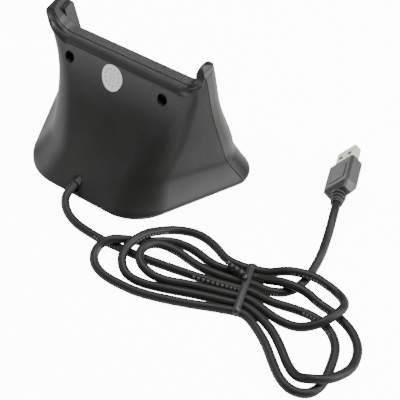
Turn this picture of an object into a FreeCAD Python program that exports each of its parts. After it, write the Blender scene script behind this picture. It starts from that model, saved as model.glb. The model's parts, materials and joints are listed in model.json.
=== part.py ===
import FreeCAD, Part
import math
import os

# Desktop charging cradle for a personal digital assistant, with a captive USB lead.
# Millimetres. Origin: middle of the cradle's footprint on the table, +X across the cradle,
# +Y towards the back (the cable side), +Z up. The pocket and the shells' parting plane lean back;
# "lean" coordinates are (x, n, v): n behind the parting plane, v up along it.

# ---- overall shape -----------------------------------------------------------
LEAN = 12.0               # lean of the parting plane and pocket, degrees
BASE_HALF_WIDTH = 62.4    # half width of the foot at the parting plane
WAIST_HALF_WIDTH = 53.0   # half width just above the foot's flare
EAR_HALF_WIDTH = 49.5     # half width over the ears at their tops
REAR_REACH = 58.2         # back edge of the foot behind the parting line on the table
FRONT_REACH = 16.6        # front edge of the foot in front of that line
EAR_REACH = 12.5          # front of the ears in front of the parting plane
SIDE_HOLLOW = 1.6         # hollow of the sides between the foot and the ears
EAR_HEIGHT = 77.8         # top of the ears, along the lean
WALL_HEIGHT = 64.3        # top of the back wall between the ears, along the lean
FOOT_FLARE_TOP = 17.0     # height where the foot starts to flare
FOOT_FLARE_END = 5.0      # height below which the foot's side is upright
FLARE_POWER = 1.35        # how sharply the sides flare out to the foot
REAR_TOP_Z = 60.0         # height of the back face's waist
REAR_TOP_Y = 18.1         # distance of the waist behind the parting line on the table
REAR_TOP_SLOPE = 0.12     # run per rise of the back face just below the waist
REAR_EAR_SLOPE = 0.18     # the back of the ears leans back above it
REAR_SWEEP_POWER = 2.0    # how sharply the back face sweeps out to the foot
CHEEK_SLOPE_BASE = 0.466  # side cheeks: inward run per millimetre of depth at the foot
CHEEK_SLOPE_TOP = 1.0     # the same at REAR_TOP_Z
CHEEK_POWER = 1.5         # how the cheeks and corners change between the two
REAR_CORNER_BASE = 26.0   # plan radius of the back corners at the foot
REAR_CORNER_TOP = 6.0     # the same at REAR_TOP_Z
EAR_BLEND_TOP = 29.0      # height above the front lip where the ears' own reach begins
EAR_BLEND = 28.0          # height over which the front runs back to it
FOOT_CORNER_OFFSET = 0.6  # straight part of the foot's sides in front of the parting plane
FRONT_CORNER_OFFSET = 4.0  # straight part of the ears' sides in front of the parting plane

# ---- shells --------------------------------------------------------------------
WALL = 2.0                # shell wall
PARTING_GAP = 0.3         # visible groove between the two shells
SHELL_BOTTOM = 2.4        # lower edge of both shells
POCKET_HALF_WIDTH = 44.0  # half width between the ears at their tops
POCKET_LEDGE = 1.8        # step inwards of the pocket's sides below the ledge
LEDGE_DROP = 5.0          # ledge below the ears' tops
POCKET_CORNER = 9.0       # radius of the U where the wall's top meets the ears
STRIP = 5.06              # thickness of the wall's top in front of the parting plane
POCKET_DEPTH = 9.4        # pocket, front to back
POCKET_FLOOR = 16.0       # pocket floor, along the lean
FLOOR_THICKNESS = 2.0
FRONT_LIP_HEIGHT = 21.0   # top of the low front lip, along the lean
PANEL = 2.0               # back-rest panel below the solid top strip
SOLID_TOP = 12.0          # height of the solid strip under the wall's top
EAR_CORNER = 4.5          # rounding of the ears' outer top corners
EAR_BACK = 2.4            # back of the ears behind the parting plane
EAR_NAPE = 6.6            # rounding of the ears' tops towards the back
EAR_HEEL = (3.0, 4.5)     # run and fall of the ears' backs below it, down to the wall's lip
LIP_DROP = 2.4            # rolled lip of the rear cover: fall from the groove to its crease
LIP_SIDE = 2.75           # roll on the ears, outwards from the groove
LIP_BAND = 5.0            # band of the lip beside the ears, groove to crease
LIP_DEPTH = 6.0           # depth of the roll behind the parting plane
LIP_PROUD = 0.7           # lip's bulge beyond the back face

# ---- base ------------------------------------------------------------------------
FOOT_PROUD = 0.8          # rubber feet below the base plate
FOOT_RADIUS = 4.5
FOOT_SUNK = 0.7
PLATE_INSET = 0.9         # base plate's edge inside the shells' edge
PLATE_THICKNESS = SHELL_BOTTOM - FOOT_PROUD
FOOT_PLACES = [(-42.0, 4.0), (42.0, 4.0), (-24.0, 46.0), (24.0, 46.0)]   # x, y behind the parting line
BOSS_PLACES = [(-53.0, -5.0), (53.0, -5.0), (-36.0, 33.0), (36.0, 33.0)]
BOSS_RADIUS = 3.6
BOSS_TOP = 34.0           # clear above the wall they run into
BASE_SCREW_RADIUS = 1.3
BASE_SCREW_HEAD = 2.3
BASE_SCREW_LENGTH = 8.0
SCREW_CLEARANCE = 0.25
SCREW_SUNK = 0.9          # base screws' heads sit this deep in the plate
PILOT_CLEARANCE = 0.02    # a driven screw's thread against its moulded hole

# ---- rear screws -------------------------------------------------------------------
REAR_SCREW_X = (-26.0, 33.0)
REAR_SCREW_V = 55.4
REAR_SCREW_RADIUS = 1.3
REAR_SCREW_HEAD = 2.4
REAR_SCREW_HEAD_HEIGHT = 1.6
REAR_RECESS_RADIUS = 2.9
REAR_SEAT_N = 4.6         # depth behind the parting plane of the seat under the heads
REAR_SCREW_TIP_N = -3.9
STICKER_RADIUS = 6.4
STICKER_THICKNESS = 0.12
STICKER_X = 5.2
STICKER_V = 55.1

# ---- connector rocker ---------------------------------------------------------------
PIVOT_V = 9.3             # pivot axis, along the lean
PIN_RADIUS = 1.25
PIN_CLEARANCE = 0.05
CARRIER_LENGTH = 26.0
CARRIER_RADIUS = 4.0
CARRIER_FLAT = 3.2        # flat underside below the pivot axis
TILT_RANGE = 12.0         # forward tilt of the connector, degrees
LUG_THICKNESS = 2.5
LUG_GAP = 0.4
LUG_HALF_DEPTH = 3.5
LUG_DROP = 3.0            # lugs below the pivot axis
PLUG_WIDTH = 18.0
PLUG_THICKNESS = 3.0
PLUG_SKIN = 0.4
PLUG_RISE = 6.5           # plug above the pocket floor
SLOT_CLEARANCE = 0.5
DOCK_CONTACTS = 11
DOCK_CONTACT_PITCH = 1.3
DOCK_CONTACT_WIDTH = 0.7
DOCK_CONTACT_THICKNESS = 0.12
DOCK_TONGUE = 0.8         # thickness of the blade that carries the contacts
DOCK_TONGUE_SIDE = 1.5    # blade's side to the plug's side
SPRING_X = 8.0
SPRING_RADIUS = 1.5
SPRING_WIRE = 0.35
SPRING_TURNS = 4
SPRING_FORWARD = 2.0

# ---- circuit board --------------------------------------------------------------------
BOARD_X = 48.0
BOARD_Y = 26.0
BOARD_THICKNESS = 1.2
BOARD_CENTRE_Y = 22.0     # behind the parting line
STANDOFF_HEIGHT = 4.0
STANDOFF_RADIUS = 2.8
BOARD_SCREW_X = 19.0
BOARD_SCREW_RADIUS = 1.0
BOARD_SCREW_HEAD = 1.9
CHIPS = [(-5.0, -6.0, 9.0, 9.0, 1.4), (-14.0, -5.0, 5.0, 6.0, 1.2), (7.5, -9.0, 6.0, 4.0, 1.0)]  # x, y, sizes
LEGS = 6                  # legs along two sides of the largest chip
LEG_WIDTH = 0.5
LEG_REACH = 1.2
LEG_HEIGHT = 0.3
CAPACITORS = [(-19.5, 8.5, 2.5, 5.5), (-13.5, 9.0, 2.0, 4.5), (11.0, 1.0, 2.0, 4.5)]  # x, y, radius, height
RIBBON_WIDTH = 12.0
RIBBON_THICKNESS = 0.35
WEIGHT_X = 12.0
WEIGHT_Y = 22.0
WEIGHT_THICKNESS = 3.0
WEIGHT_CENTRE = (34.0, 17.0)   # x either side, y behind the parting line
LED_X = 20.0
LED_RADIUS = 1.5
LED_Z = 9.0
LED_LENGTH = 5.0

# ---- lead ---------------------------------------------------------------------------------
CABLE_RADIUS = 2.2
CABLE_EXIT_X = 4.5
NOTCH_CLEARANCE = 0.15
SLEEVE_WALL = 0.7
SLEEVE_LENGTH = 5.8
CLAMP_X = 16.0
CLAMP_Y = 4.0
CLAMP_ROOF = 1.2          # clamp above the lead
CLAMP_GAP = 1.6           # clamp's back face to the sleeve's front face
CLAMP_SCREW_X = 5.6
CLAMP_SCREW_LENGTH = 6.0
WIRE_RADIUS = 0.45
SLEEVE_LIFT = 0.1         # grommet above the base plate
SLEEVE_INSET = 3.4        # grommet's outer end inside the foot's back edge
CLAMP_WALL_GAP = 1.0      # clamp's top edge to the back wall, at least
LEAD_END = 0.6            # lead's end in front of the clamp
LEAD_STRAIGHT = 9.6       # first corner of the lead's route behind the grommet
WIRE_GAP = 0.1            # wires' ends to the lead's end

# ---- plug at the end of the lead ---------------------------------------------------------------
PLUG_POINT = (-101.8, -57.0, 8.05)  # middle of the overmould's front face
PLUG_YAW = -68.8          # heading of the plug's tip, degrees
PLUG_PITCH = -6.0
PLUG_ROLL = -46.0
USB_WIDTH = 12.0
USB_THICKNESS = 4.5
USB_SKIN = 0.35
USB_LENGTH = 12.0
MOULD_WIDTH = 16.6
MOULD_THICKNESS = 8.2
MOULD_LENGTH = 25.0
MOULD_CHAMFER = 1.2
BOOT_RADIUS = 4.0
BOOT_LENGTH = 8.0
BOOT_WALL = 0.6           # boot's bore to its core
BOOT_TAPER = 0.4          # each ring of the boot is this much smaller
RING_LENGTH = 1.3
RING_GAP = 0.9
SHELL_SUNK = 6.0          # length of the plug's metal shell inside the overmould
SHOULDER_LENGTH = 4.0     # tapered back end of the overmould
SHOULDER_INSET = 2.4
GROOVE_WIDTH = 0.7        # L-shaped grip groove on both faces
GROOVE_DEPTH = 0.35
GROOVE_BACK = 7.0         # groove to the overmould's back end
GROOVE_FRONT = 6.0        # groove to its front end
WINDOW_X = 2.9            # latch windows of the metal shell, either side
WINDOW_SIZE = 2.4
WINDOW_START = 5.2
TONGUE_THICKNESS = 1.9
USB_CONTACTS = [(-3.5, 1.4), (-1.0, 2.4), (1.0, 2.4), (3.5, 1.4)]   # x, end behind the tip
USB_CONTACT_WIDTH = 1.0
USB_CONTACT_THICKNESS = 0.15

# ---- hank of spare lead and its tie -----------------------------------------------------------
FLOOR_GAP = 0.05          # lead and hank above the table
FLOOR_LIE = CABLE_RADIUS + FLOOR_GAP    # centre line of the lead where it lies on the table
HANK_OUTLINE = [(-31, 52), (-29, 61), (-38, 71), (-52, 75), (-67, 73), (-86, 65), (-109, 56), (-122, 56),
                (-133, 67), (-146, 76), (-159, 76), (-168, 65), (-171, 50), (-166, 35), (-155, 25),
                (-146, 17), (-133, 14), (-118, 19), (-99, 26), (-89, 27), (-77, 22), (-65, 20),
                (-53, 24), (-47, 34), (-43, 45)]
HANK_HEIGHT = 8.0
HANK_ROUND = 2.4
TIE_PLACE = (-104.0, 41.0)
TIE_TURN = 19.0           # heading of the bundle at the tie, degrees
TIE_LENGTH = 4.5
TIE_THICKNESS = 0.6
TIE_CLEARANCE = 0.05
TIE_SIDE_GAP = 0.3        # hank either side of the tie
TAIL_RADIUS = 0.9
BUNDLE_WIDTH = 30.0
BUNDLE_HEIGHT = 6.4
BUNDLE_CORNER = 2.0


def vec(x, y, z):
    return FreeCAD.Vector(x, y, z)


def box(x0, y0, z0, x1, y1, z1):
    return Part.makeBox(x1 - x0, y1 - y0, z1 - z0, vec(x0, y0, z0))


def cylinder(radius, height, base, axis=(0, 0, 1)):
    return Part.makeCylinder(radius, height, vec(*base), vec(*axis))


PARTING_Y = (FRONT_REACH - REAR_REACH) / 2.0
TAN = math.tan(math.radians(LEAN))
COS = math.cos(math.radians(LEAN))
SIN = math.sin(math.radians(LEAN))


def lean(shape):
    """Move a shape drawn in lean coordinates to its place in the cradle."""
    placed = shape.copy()
    placed.rotate(vec(0, 0, 0), vec(1, 0, 0), -LEAN)
    placed.translate(vec(0, PARTING_Y, 0))
    return placed


def lean_point(x, n, v):
    return vec(x, PARTING_Y + n * COS + v * SIN, v * COS - n * SIN)


# ---- outer body ---------------------------------------------------------------------------------
def half_width(z):
    """Half width of the body at the parting plane."""
    top = EAR_HEIGHT * COS
    taper = (WAIST_HALF_WIDTH - EAR_HALF_WIDTH) / (top - FOOT_FLARE_TOP)
    flare = min(max((FOOT_FLARE_TOP - z) / (FOOT_FLARE_TOP - FOOT_FLARE_END), 0.0), 1.0)
    upright = WAIST_HALF_WIDTH - taper * max(z - FOOT_FLARE_TOP, 0.0)
    share = min(max((z - FOOT_FLARE_TOP) / (top - FOOT_FLARE_TOP), 0.0), 1.0)
    upright = upright - SIDE_HOLLOW * math.sin(math.pi * share) ** 2
    return upright + (BASE_HALF_WIDTH - WAIST_HALF_WIDTH) * flare ** FLARE_POWER


def rear_face(z):
    """Distance of the back face behind the parting line on the table."""
    fall = REAR_TOP_Z - z
    straight = REAR_TOP_Y + (REAR_TOP_SLOPE if fall > 0 else -REAR_EAR_SLOPE) * fall
    full = REAR_TOP_Z - SHELL_BOTTOM
    sweep = REAR_REACH - REAR_TOP_Y - REAR_TOP_SLOPE * full
    return straight + sweep * (max(fall, 0.0) / full) ** REAR_SWEEP_POWER


def blend(z, bottom, top):
    """Value at height z of something that is bottom at the foot and top at the waist."""
    share = min(max(z / REAR_TOP_Z, 0.0), 1.0)
    return bottom + (top - bottom) * share ** CHEEK_POWER


def front_reach(z):
    """Front face before the parting plane: the foot's reach below the lip, the ears' above it."""
    share = min(max((FRONT_LIP_HEIGHT + EAR_BLEND_TOP - z) / EAR_BLEND, 0.0), 1.0)
    return EAR_REACH + (FRONT_REACH - EAR_REACH) * share * share * (3 - 2 * share)


def corner_offset(z):
    share = min(max((z - SHELL_BOTTOM) / FOOT_FLARE_TOP, 0.0), 1.0)
    return FOOT_CORNER_OFFSET + (FRONT_CORNER_OFFSET - FOOT_CORNER_OFFSET) * share


def body_section(z, inset):
    """Closed outline of the body at height z, set in by inset."""
    parting = PARTING_Y + TAN * z
    wide = half_width(z) - inset
    back = PARTING_Y + rear_face(z)
    depth = back - parting
    slope = blend(z, CHEEK_SLOPE_BASE, CHEEK_SLOPE_TOP)
    norm = math.hypot(1.0, slope)
    radius = blend(z, REAR_CORNER_BASE, REAR_CORNER_TOP) - inset
    back = back - inset
    # the cheek runs from the parting point back and inwards; its line moves in by inset
    cheek_x = half_width(z) - inset * norm
    side_y = parting + (cheek_x - wide) / slope
    rear_x = cheek_x - slope * (back - parting)
    turn = math.radians(90) - math.atan(slope)
    tangent = radius * math.tan(turn / 2.0)
    arc_start = vec(rear_x - tangent, back, z)
    arc_end = vec(rear_x + tangent * slope / norm, back - tangent / norm, z)
    arc_middle = vec(arc_start.x + radius * math.sin(turn / 2), back - radius * (1 - math.cos(turn / 2)), z)
    front = parting - front_reach(z) + inset
    front_radius = front_reach(z) - corner_offset(z) - inset
    fillet_y = front + front_radius
    bend = front_radius * (1 - math.sqrt(0.5))
    right = [arc_start, arc_middle, arc_end, vec(wide, side_y, z), vec(wide, fillet_y, z),
             vec(wide - bend, front + bend, z), vec(wide - front_radius, front, z)]
    left = [vec(-p.x, p.y, z) for p in right]
    return Part.Wire([
        Part.LineSegment(left[0], right[0]).toShape(),
        Part.Arc(right[0], right[1], right[2]).toShape(),
        Part.LineSegment(right[2], right[3]).toShape(),
        Part.LineSegment(right[3], right[4]).toShape(),
        Part.Arc(right[4], right[5], right[6]).toShape(),
        Part.LineSegment(right[6], left[6]).toShape(),
        Part.Arc(left[6], left[5], left[4]).toShape(),
        Part.LineSegment(left[4], left[3]).toShape(),
        Part.LineSegment(left[3], left[2]).toShape(),
        Part.Arc(left[2], left[1], left[0]).toShape()])


def body(inset, bottom, top):
    """Outer body (inset 0) or the space inside its walls (inset WALL)."""
    steps = [0.0, 0.04, 0.08, 0.12, 0.16, 0.21, 0.28, 0.37, 0.48, 0.6, 0.73, 0.86, 1.0]
    heights = [bottom + (top - bottom) * step for step in steps]
    return Part.makeLoft([body_section(z, inset) for z in heights], True)


def u_outline(n, drop, spread):
    """U-shaped outline of the opening between the ears at depth n, lowered by drop and widened by spread."""
    w = POCKET_HALF_WIDTH + spread
    r = POCKET_CORNER + spread
    low = WALL_HEIGHT - drop
    b = r * (1 - math.sqrt(0.5))
    return Part.Wire([
        Part.LineSegment(vec(-w, n, ABOVE), vec(-w, n, low + r)).toShape(),
        Part.Arc(vec(-w, n, low + r), vec(-w + b, n, low + b), vec(-w + r, n, low)).toShape(),
        Part.LineSegment(vec(-w + r, n, low), vec(w - r, n, low)).toShape(),
        Part.Arc(vec(w - r, n, low), vec(w - b, n, low + b), vec(w, n, low + r)).toShape(),
        Part.LineSegment(vec(w, n, low + r), vec(w, n, ABOVE)).toShape(),
        Part.LineSegment(vec(w, n, ABOVE), vec(-w, n, ABOVE)).toShape()])


ABOVE = EAR_HEIGHT + 12.0   # clear above everything


def u_prism(n0, n1, drop, spread):
    return Part.Face(u_outline(n0, drop, spread)).extrude(vec(0, n1 - n0, 0))


def roll(share):
    """Fall of a quarter-round roll at this share of its depth, as a share of its height."""
    return 1 - math.sqrt(1 - min(share, 1.0) ** 2)


def rolled_lip_cut():
    """Everything above the rolled lip: a deep roll on the wall and a tighter one on the ears."""
    sections = []
    for share in (0.0, 0.12, 0.24, 0.34, 0.4, 0.55, 0.75, 0.9, 0.98):
        n = LIP_DEPTH * share
        sections.append(u_outline(n, LIP_DROP * roll(share), LIP_SIDE * roll(n / EAR_BACK)))
    lip = Part.makeLoft(sections, True, True)
    return lean(lip.fuse(u_prism(LIP_DEPTH * 0.98, LIP_DEPTH + 30, LIP_DROP, LIP_SIDE)))


def side_prism(edges, x0, x1):
    """Prism across the cradle from an outline in the (n, v) plane, given as runs and arcs of points."""
    pieces = []
    for points in edges:
        corners = [vec(x0, n, v) for n, v in points]
        pieces.append((Part.Arc if len(corners) == 3 else Part.LineSegment)(*corners).toShape())
    return Part.Face(Part.Wire(pieces)).extrude(vec(x1 - x0, 0, 0))


def ear_tops():
    """What is cut off round the ears' domed tops."""
    w = half_width(EAR_HEIGHT * COS - EAR_CORNER)
    r = EAR_CORNER
    b = r * (1 - math.sqrt(0.5))
    top = EAR_HEIGHT
    far = BASE_HALF_WIDTH + 20
    cuts = []
    for side in (-1, 1):
        inner = side * (w - r)
        cuts.append(Part.Face(Part.Wire([
            Part.LineSegment(vec(side * w, -40, top - r), vec(side * far, -40, top - r)).toShape(),
            Part.LineSegment(vec(side * far, -40, top - r), vec(side * far, -40, ABOVE)).toShape(),
            Part.LineSegment(vec(side * far, -40, ABOVE), vec(inner, -40, ABOVE)).toShape(),
            Part.LineSegment(vec(inner, -40, ABOVE), vec(inner, -40, top)).toShape(),
            Part.Arc(vec(inner, -40, top), vec(side * (w - b), -40, top - b),
                     vec(side * w, -40, top - r)).toShape()])).extrude(vec(0, 90, 0)))
    cuts.append(box(-w + r, -40, top, w - r, 50, ABOVE))
    crown = EAR_BACK - EAR_NAPE
    nose = EAR_REACH + crown
    half = 1 - math.sqrt(0.5)
    rear = (EAR_BACK + EAR_HEEL[0], top - EAR_NAPE - EAR_HEEL[1])
    cuts.append(side_prism([
        [(-EAR_REACH, top - nose), (-EAR_REACH + nose * half, top - nose * half), (crown, top)],
        [(crown, top), (EAR_BACK - EAR_NAPE * half, top - EAR_NAPE * half), (EAR_BACK, top - EAR_NAPE)],
        [(EAR_BACK, top - EAR_NAPE), rear],
        [rear, (60, rear[1])],
        [(60, rear[1]), (60, ABOVE)],
        [(60, ABOVE), (-40, ABOVE)],
        [(-40, ABOVE), (-40, top - nose)],
        [(-40, top - nose), (-EAR_REACH, top - nose)]], -far, far))
    return lean(cuts[0].fuse(cuts[1:]))


def lean_box(x0, n0, v0, x1, n1, v1):
    return lean(box(x0, n0, v0, x1, n1, v1))


def lean_cylinder(radius, x, n0, n1, v):
    return lean(cylinder(radius, n1 - n0, (x, n0, v), (0, 1, 0)))


FAR = 200.0
TOP_Z = (EAR_HEIGHT + 6.0) * COS
CAVITY_TOP = (WALL_HEIGHT - 5.0) * COS


def rear_cover():
    """Back shell: swept body behind the parting plane, with the rolled lip along its top."""
    behind = lean_box(-FAR, PARTING_GAP / 2, -FAR, FAR, FAR, FAR)
    shell = body(0.0, SHELL_BOTTOM, TOP_Z)
    bulge = body(-LIP_PROUD, SHELL_BOTTOM, TOP_Z)
    lip_zone = lean(u_prism(0, LIP_DEPTH + 4, LIP_DROP, LIP_BAND))
    side = half_width(WALL_HEIGHT * COS)
    lip = bulge.common(lip_zone).common(box(-side, -FAR, 0, side, FAR, FAR))
    shell = shell.fuse(lip).common(behind)
    shell = shell.cut(rolled_lip_cut()).cut(ear_tops())
    shell = shell.cut(body(WALL, SHELL_BOTTOM - 1, CAVITY_TOP))
    for x in REAR_SCREW_X:
        post = lean_cylinder(BOSS_RADIUS, x, PARTING_GAP / 2, LIP_DEPTH + 6, REAR_SCREW_V)
        shell = shell.fuse(post.common(body(0.3, SHELL_BOTTOM, TOP_Z)))
        hole = lean_cylinder(REAR_SCREW_RADIUS + SCREW_CLEARANCE, x, 0, REAR_SEAT_N + 1, REAR_SCREW_V)
        recess = lean_cylinder(REAR_RECESS_RADIUS, x, REAR_SEAT_N, REAR_SEAT_N + 20, REAR_SCREW_V)
        shell = shell.cut(hole.fuse(recess))
    shell = add_bosses(shell, BOSS_PLACES[2:], behind)
    back = PARTING_Y + REAR_REACH
    notch = SLEEVE_RADIUS + NOTCH_CLEARANCE
    shell = shell.cut(cylinder(notch, 30, (CABLE_EXIT_X, back - 25, CABLE_EXIT_Z), (0, 1, 0)))
    shell = shell.cut(box(CABLE_EXIT_X - notch, back - 25, 0, CABLE_EXIT_X + notch, back + 5, CABLE_EXIT_Z))
    return shell


def add_bosses(shell, places, side):
    """Screw bosses that stand on the base plate, joined to the wall above them."""
    inside = body(0.3, SHELL_BOTTOM, TOP_Z).common(side)
    for x, y in places:
        boss = cylinder(BOSS_RADIUS, BOSS_TOP, (x, PARTING_Y + y, SHELL_BOTTOM))
        shell = shell.fuse(boss.common(inside))
    for x, y in places:
        shell = shell.cut(cylinder(BASE_SCREW_RADIUS + PILOT_CLEARANCE, BASE_SCREW_LENGTH + 1,
                                   (x, PARTING_Y + y, SHELL_BOTTOM - 1)))
    return shell


SLEEVE_RADIUS = CABLE_RADIUS + SLEEVE_WALL
CABLE_EXIT_Z = SHELL_BOTTOM + SLEEVE_RADIUS + SLEEVE_LIFT
CLAMP_TOP = CABLE_EXIT_Z + CABLE_RADIUS + CLAMP_ROOF
SLEEVE_Y1 = PARTING_Y + REAR_REACH - SLEEVE_INSET
SLEEVE_Y0 = SLEEVE_Y1 - SLEEVE_LENGTH
CLAMP_Y1 = min(SLEEVE_Y0 - CLAMP_GAP, PARTING_Y + rear_face(CLAMP_TOP) - WALL - CLAMP_WALL_GAP)
CABLE_END_Y = CLAMP_Y1 - CLAMP_Y - LEAD_END
CLAMP_PLACES = [(CABLE_EXIT_X + side * CLAMP_SCREW_X, CLAMP_Y1 - CLAMP_Y / 2 - PARTING_Y) for side in (-1, 1)]
PLUG_N = -(STRIP + POCKET_DEPTH / 2.0)      # middle of the pocket
POCKET_SIDE = POCKET_HALF_WIDTH - POCKET_LEDGE


def pocket():
    """The space the device drops into, with the ledges near the ears' tops."""
    front = -(FRONT_REACH + 20)
    main = box(-POCKET_SIDE, -(STRIP + POCKET_DEPTH), POCKET_FLOOR, POCKET_SIDE, -STRIP, ABOVE)
    mouth = box(-POCKET_SIDE, front, FRONT_LIP_HEIGHT, POCKET_SIDE, -STRIP, ABOVE)
    upper = u_prism(0, front, 0.0, 0.0)
    ledge = box(-POCKET_HALF_WIDTH, front, EAR_HEIGHT - LEDGE_DROP, POCKET_HALF_WIDTH, 0, ABOVE)
    behind = box(-FAR, -STRIP, 0, FAR, 1, ABOVE)
    return lean(main.fuse([mouth, upper.common(behind), ledge.common(upper)]))


def front_cavity():
    """Hollow of the front shell: under the pocket floor and behind the back-rest."""
    under = box(-FAR, -FAR, -FAR, FAR, 1, POCKET_FLOOR - FLOOR_THICKNESS)
    rest = box(-POCKET_SIDE, -(STRIP - PANEL), -FAR, POCKET_SIDE, 1, WALL_HEIGHT - SOLID_TOP)
    return body(WALL, SHELL_BOTTOM - 1, CAVITY_TOP).common(lean(under.fuse(rest)))


def plug_slot():
    """Slot in the pocket floor that lets the connector tilt forward."""
    swing = (POCKET_FLOOR - PIVOT_V) * math.tan(math.radians(TILT_RANGE))
    half = PLUG_THICKNESS / 2 + SLOT_CLEARANCE
    x = PLUG_WIDTH / 2 + SLOT_CLEARANCE
    return lean_box(-x, PLUG_N - half - swing, PIVOT_V, x, PLUG_N + half, POCKET_FLOOR + 1)


def front_shell():
    """Front shell: ears, back-rest, pocket and low front lip."""
    ahead = lean_box(-FAR, -FAR, -FAR, FAR, -PARTING_GAP / 2, FAR)
    shell = body(0.0, SHELL_BOTTOM, TOP_Z).common(ahead)
    shell = shell.cut(front_cavity()).cut(pocket()).cut(ear_tops()).cut(plug_slot())
    inner = CARRIER_LENGTH / 2 + LUG_GAP
    for side in (-1, 1):
        x0, x1 = sorted((side * inner, side * (inner + LUG_THICKNESS)))
        lug = lean_box(x0, PLUG_N - LUG_HALF_DEPTH, PIVOT_V - LUG_DROP, x1, PLUG_N + LUG_HALF_DEPTH,
                       POCKET_FLOOR - FLOOR_THICKNESS / 2)
        shell = shell.fuse(lug)
    for x in REAR_SCREW_X:
        hole = lean_cylinder(REAR_SCREW_RADIUS + PILOT_CLEARANCE, x, REAR_SCREW_TIP_N - 0.2, 0, REAR_SCREW_V)
        shell = shell.cut(hole)
    pin_length = 2 * (inner + LUG_THICKNESS)
    shell = shell.cut(pivot_cylinder(PIN_RADIUS + PILOT_CLEARANCE, pin_length + 2))
    shell = add_bosses(shell, BOSS_PLACES[:2], ahead)
    front = PARTING_Y - FRONT_REACH
    return shell.cut(cylinder(LED_RADIUS + 0.05, 8, (LED_X, front - 3, LED_Z), (0, 1, 0)))


def pivot_cylinder(radius, length):
    """Cylinder about the connector's pivot axis, centred across the cradle."""
    return lean(cylinder(radius, length, (-length / 2, PLUG_N, PIVOT_V), (1, 0, 0)))


def base_plate():
    outline = body_section(SHELL_BOTTOM, PLATE_INSET)
    outline.translate(vec(0, 0, FOOT_PROUD - SHELL_BOTTOM))
    plate = Part.Face(outline).extrude(vec(0, 0, PLATE_THICKNESS))
    for x, y in FOOT_PLACES:
        plate = plate.cut(cylinder(FOOT_RADIUS + 0.1, FOOT_SUNK, (x, PARTING_Y + y, FOOT_PROUD)))
    for side in (-1, 1):
        place = (side * BOARD_SCREW_X, PARTING_Y + BOARD_CENTRE_Y, SHELL_BOTTOM)
        plate = plate.fuse(cylinder(STANDOFF_RADIUS, STANDOFF_HEIGHT, place))
        plate = plate.cut(cylinder(BOARD_SCREW_RADIUS + PILOT_CLEARANCE, STANDOFF_HEIGHT, place))
    for x, y in BOSS_PLACES + CLAMP_PLACES:
        plate = plate.cut(cylinder(BASE_SCREW_RADIUS + SCREW_CLEARANCE, 9, (x, PARTING_Y + y, -1)))
        plate = plate.cut(cylinder(BASE_SCREW_HEAD + 0.2, SCREW_SUNK, (x, PARTING_Y + y, FOOT_PROUD)))
    return plate


def rubber_feet():
    return Part.makeCompound([
        cylinder(FOOT_RADIUS, FOOT_PROUD + FOOT_SUNK, (x, PARTING_Y + y, 0)) for x, y in FOOT_PLACES])


def screw(shaft_radius, head_radius, head_height, length):
    """Cross-head screw along +Z with its head below the origin."""
    shaft = cylinder(shaft_radius, length, (0, 0, 0))
    head = cylinder(head_radius, head_height, (0, 0, -head_height))
    slot = 0.25 * head_radius
    cross = box(-head_radius * 0.7, -slot / 2, -head_height, head_radius * 0.7, slot / 2, -head_height * 0.45)
    other = cross.copy()
    other.rotate(vec(0, 0, 0), vec(0, 0, 1), 90)
    return shaft.fuse(head).cut(cross.fuse(other))


def placed(shape, base, axis, angle):
    moved = shape.copy()
    moved.rotate(vec(0, 0, 0), vec(*axis), angle)
    moved.translate(vec(*base))
    return moved


def base_screws():
    return screws_from_below(BOSS_PLACES, BASE_SCREW_LENGTH)


def screws_from_below(places, length):
    one = screw(BASE_SCREW_RADIUS, BASE_SCREW_HEAD, SCREW_SUNK - 0.05, length)
    return Part.makeCompound([
        placed(one, (x, PARTING_Y + y, FOOT_PROUD + SCREW_SUNK), (0, 0, 1), 20) for x, y in places])


def rear_screws():
    length = REAR_SEAT_N - REAR_SCREW_TIP_N
    one = screw(REAR_SCREW_RADIUS, REAR_SCREW_HEAD, REAR_SCREW_HEAD_HEIGHT, length)
    screws = []
    for x in REAR_SCREW_X:
        flat = placed(one, (0, 0, 0), (0, 0, 1), x)
        flat = placed(flat, (x, REAR_SEAT_N, REAR_SCREW_V), (1, 0, 0), 90)
        screws.append(lean(flat))
    return Part.makeCompound(screws)


# ---- connector ------------------------------------------------------------------------------
def connector_carrier():
    """Rocking bar that holds the dock plug, with a flat underside."""
    bar = pivot_cylinder(CARRIER_RADIUS, CARRIER_LENGTH)
    half = CARRIER_LENGTH / 2 + 1
    bar = bar.cut(lean_box(-half, PLUG_N - 6, PIVOT_V - 8, half, PLUG_N + 6, PIVOT_V - CARRIER_FLAT))
    bar = bar.cut(pivot_cylinder(PIN_RADIUS + PIN_CLEARANCE, CARRIER_LENGTH + 2))
    return bar.cut(plug_block(0.0, PLUG_FOOT_V, PIVOT_V + 8))


PLUG_FOOT_V = PIVOT_V + 2.0
PLUG_TOP_V = POCKET_FLOOR + PLUG_RISE


def plug_block(inset, v0, v1):
    x = PLUG_WIDTH / 2 - inset
    n = PLUG_THICKNESS / 2 - inset
    return lean_box(-x, PLUG_N - n, v0, x, PLUG_N + n, v1)


def dock_plug_shell():
    return plug_block(0.0, PLUG_FOOT_V, PLUG_TOP_V).cut(plug_block(PLUG_SKIN, PLUG_FOOT_V - 1, PLUG_TOP_V + 1))


def dock_plug_tongue():
    x = PLUG_WIDTH / 2 - DOCK_TONGUE_SIDE
    n = DOCK_TONGUE / 2
    blade = lean_box(-x, PLUG_N - n, PLUG_FOOT_V, x, PLUG_N + n, PLUG_TOP_V - 0.8)
    return plug_block(PLUG_SKIN, PLUG_FOOT_V, POCKET_FLOOR - 0.5).fuse(blade)


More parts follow.
